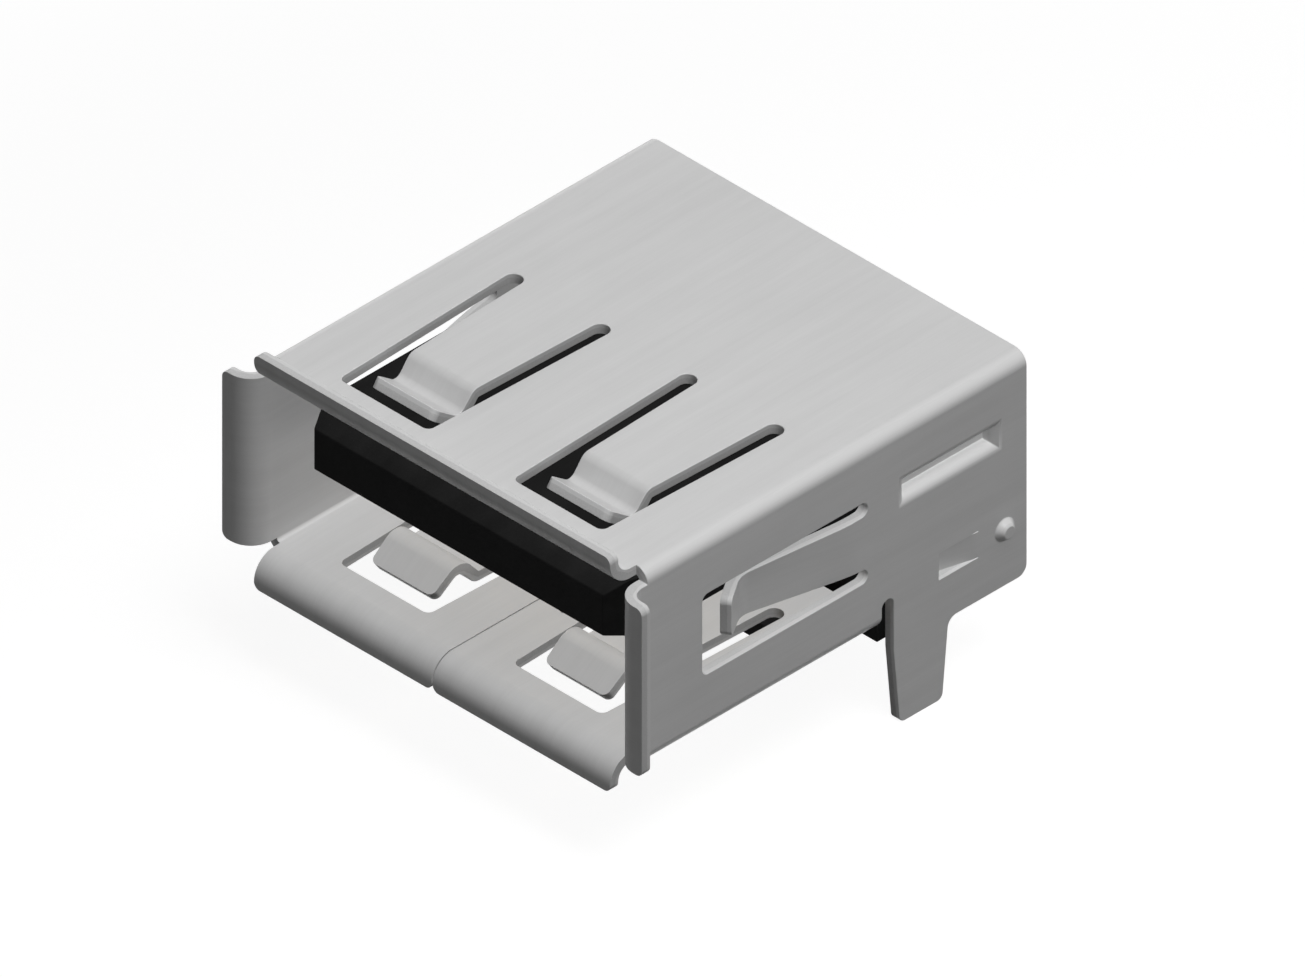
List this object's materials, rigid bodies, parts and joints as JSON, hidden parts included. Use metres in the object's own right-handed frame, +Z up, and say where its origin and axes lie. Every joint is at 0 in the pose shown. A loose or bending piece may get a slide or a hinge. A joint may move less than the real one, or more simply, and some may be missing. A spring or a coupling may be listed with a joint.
{
  "type": "usb type a socket",
  "caption": "Board mounted plug socket with a folded, flared metal shell, spring tongues, a moulded insulator with a central tongue, gold contacts and two solder legs.",
  "frame": {"origin": "on the board plane, on the centre line, midway between the two legs", "axes": "+Y into the socket, from the mouth to the back; +Z up, away from the board; +X to the right seen from the mouth"},
  "size_m": [0.0144, 0.0141, 0.0095],
  "materials": {
    "shell": "satin plated sheet",
    "insulator": "fine moulded grain",
    "contact": "gold plated"
  },
  "bodies": {
    "root": {"shell": "shell", "insulator": "insulator", "contact_1": "contact", "contact_2": "contact", "contact_3": "contact", "contact_4": "contact"}
  },
  "joints": []
}
